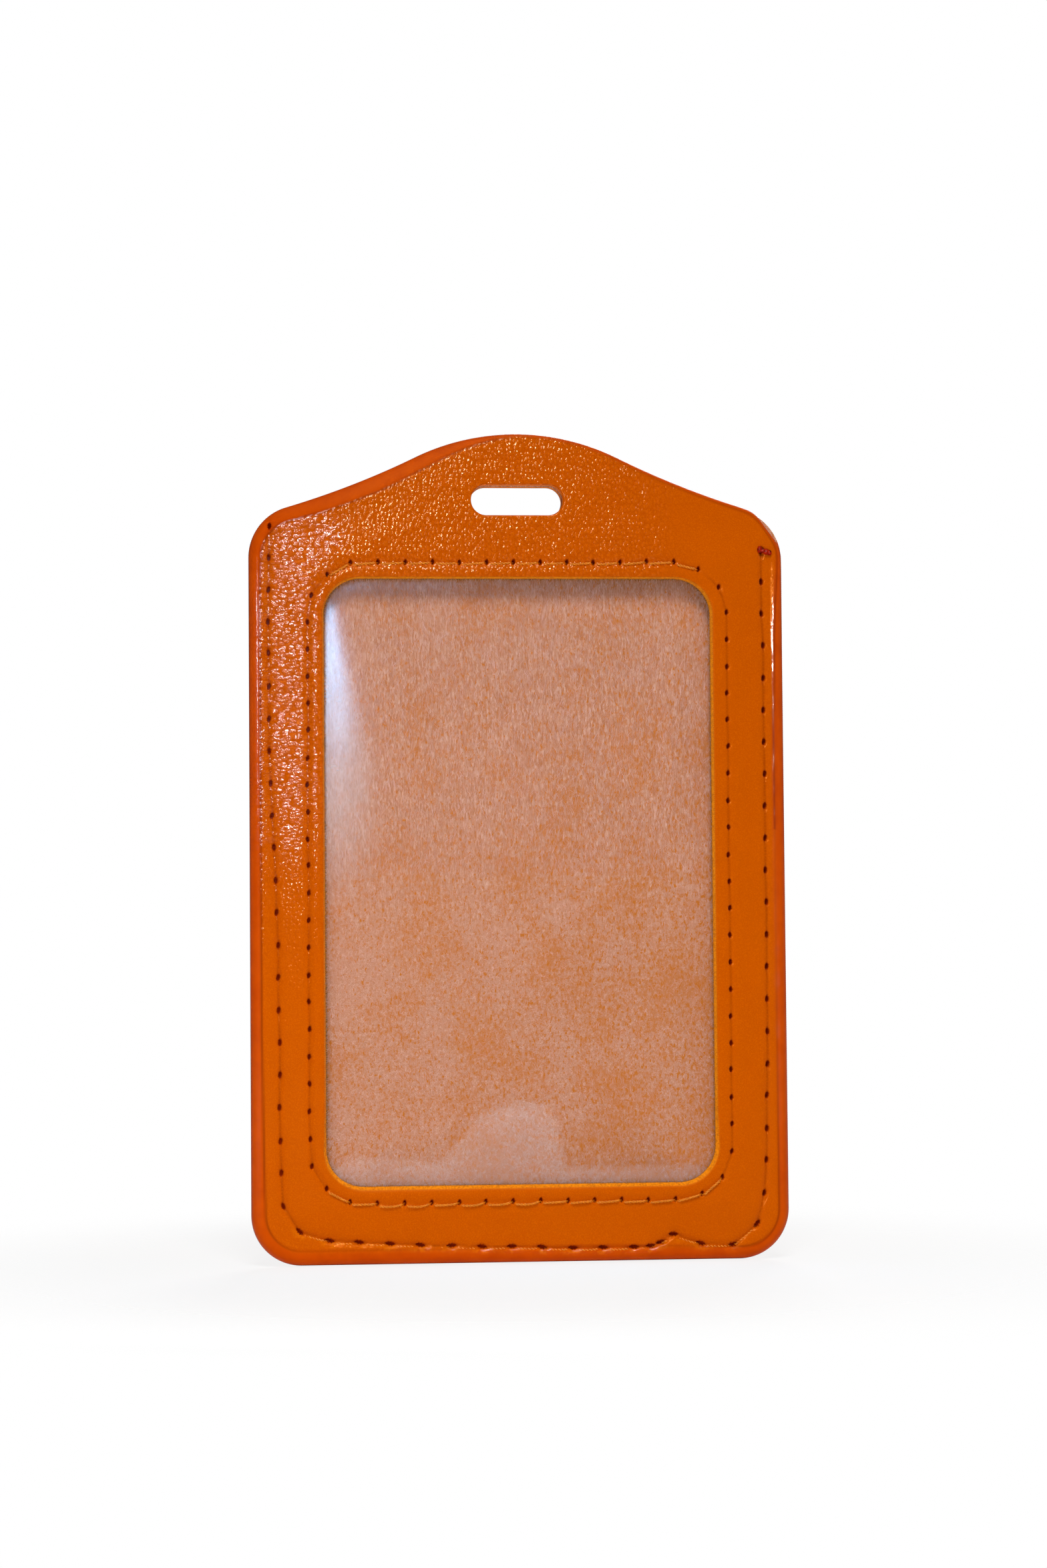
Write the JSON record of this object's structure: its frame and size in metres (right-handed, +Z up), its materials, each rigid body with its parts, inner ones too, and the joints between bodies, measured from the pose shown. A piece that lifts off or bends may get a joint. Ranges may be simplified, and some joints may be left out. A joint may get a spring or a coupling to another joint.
{
  "type": "id holder",
  "caption": "Upright card holder of orange leather-look sheet with a clear window, sewn edges, an open top and a lanyard slot.",
  "frame": {"origin": "centre of the lanyard slot, midway through the holder's thickness", "axes": "+Z up, towards the crown, with the holder hanging upright; the front with the window faces -Y; +X is to the right as seen from the front"},
  "size_m": [0.073, 0.0044, 0.1125],
  "materials": {
    "leather": "orange pebbled leather-look sheet, satin",
    "edge_paint": "glossy red-orange edge paint",
    "fleece": "brushed salmon-pink backing",
    "film": "clear glossy film",
    "thread": "twisted orange polyester",
    "thread_end": "dark red melted end"
  },
  "bodies": {
    "holder": {"front_panel": "leather", "front_panel_fleece": "fleece", "window_film": "film", "back_panel_fleece": "fleece", "back_panel": "leather", "edge_paint": "edge_paint", "window_seam_thread_1": "thread", "window_seam_thread_2": "thread", "outer_seam_thread_1": "thread", "outer_seam_thread_2": "thread", "thread_tail": "thread_end"},
    "front_head_leaf": {"front_head": "leather", "front_head_fleece": "fleece", "front_head_edge_paint": "edge_paint"}
  },
  "joints": [
    {"name": "front_head_flex", "type": "hinge", "parent": "holder", "child": "front_head_leaf", "pos_m": [0, -0.0019, -0.00417], "axis": [0.9989, 0, -0.0476], "range_deg": [0, 45], "stiffness_Nm_per_rad": 0.003}
  ]
}
